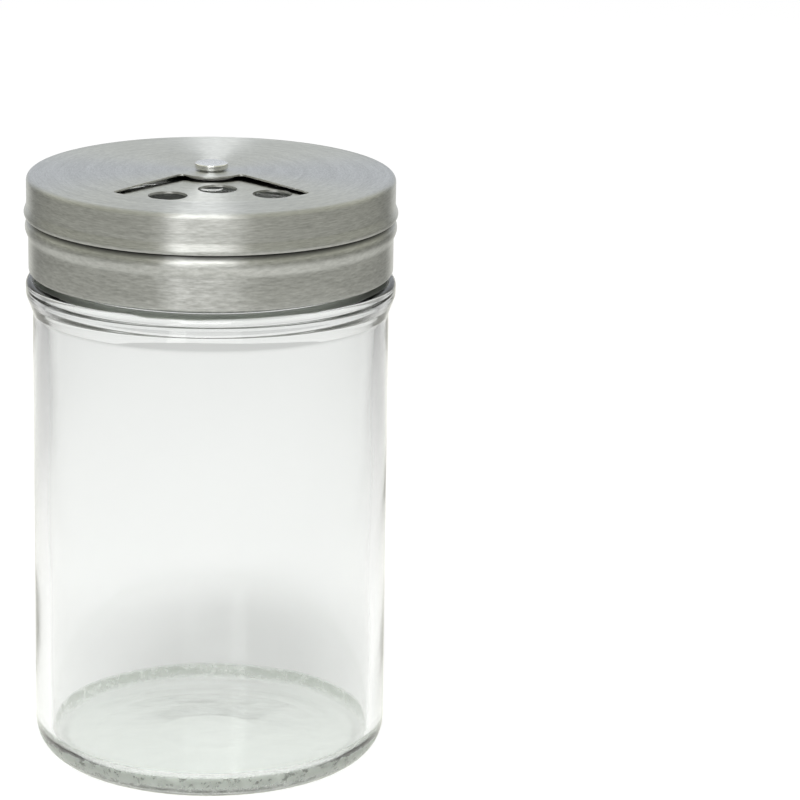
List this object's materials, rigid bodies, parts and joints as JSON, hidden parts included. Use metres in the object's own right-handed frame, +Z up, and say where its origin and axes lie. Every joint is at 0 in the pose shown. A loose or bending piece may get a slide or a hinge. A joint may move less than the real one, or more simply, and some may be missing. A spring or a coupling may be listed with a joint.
{
  "type": "spice shaker",
  "caption": "Straight glass spice jar with a screw-on steel lid whose crowned cap turns on a rivet to bring its fan-shaped window over a sifter disc.",
  "frame": {"origin": "centre of the standing ring under the jar, on the surface it stands on", "axes": "+Z up along the jar's and lid's common axis; the cap's window faces -Y at rest; +X to the right seen from the front"},
  "size_m": [0.0648, 0.0648, 0.107],
  "materials": {
    "clear_glass": "pressed clear glass, smooth",
    "seal_rubber": "soft moulded seal",
    "insert_plastic": "moulded polypropylene, dark grey",
    "ring_steel": "stainless, brushed round the axis",
    "sifter_steel": "stainless, brushed",
    "cap_steel": "stainless, spun brushed top",
    "washer_nylon": "nylon",
    "rivet_steel": "stainless, turned",
    "spring_steel": "spring steel"
  },
  "bodies": {
    "jar": {"glass_jar": "clear_glass"},
    "seal": {"rim_gasket": "seal_rubber"},
    "lid": {"thread_insert": "insert_plastic", "screw_ring": "ring_steel", "sifter_disc": "sifter_steel", "glide_washer": "washer_nylon", "pivot_rivet": "rivet_steel", "spring_washer": "spring_steel", "retaining_washer": "spring_steel"},
    "cap": {"rotating_cap": "cap_steel"}
  },
  "joints": [
    {"name": "lid_rise", "type": "slide", "parent": "jar", "child": "seal", "axis": [0, 0, 1], "range_m": [0, 0.018]},
    {"name": "lid_turn", "type": "hinge", "parent": "seal", "child": "lid", "pos_m": [0, 0, 0.095], "axis": [0, 0, 1], "range_deg": [0, 1440]},
    {"name": "cap_turn", "type": "hinge", "parent": "lid", "child": "cap", "pos_m": [0, 0, 0.105], "axis": [0, 0, 1], "continuous": true}
  ],
  "couplings": [
    {"joint": "lid_rise", "follows": "lid_turn", "m_per_rad": 0.0007162}
  ]
}
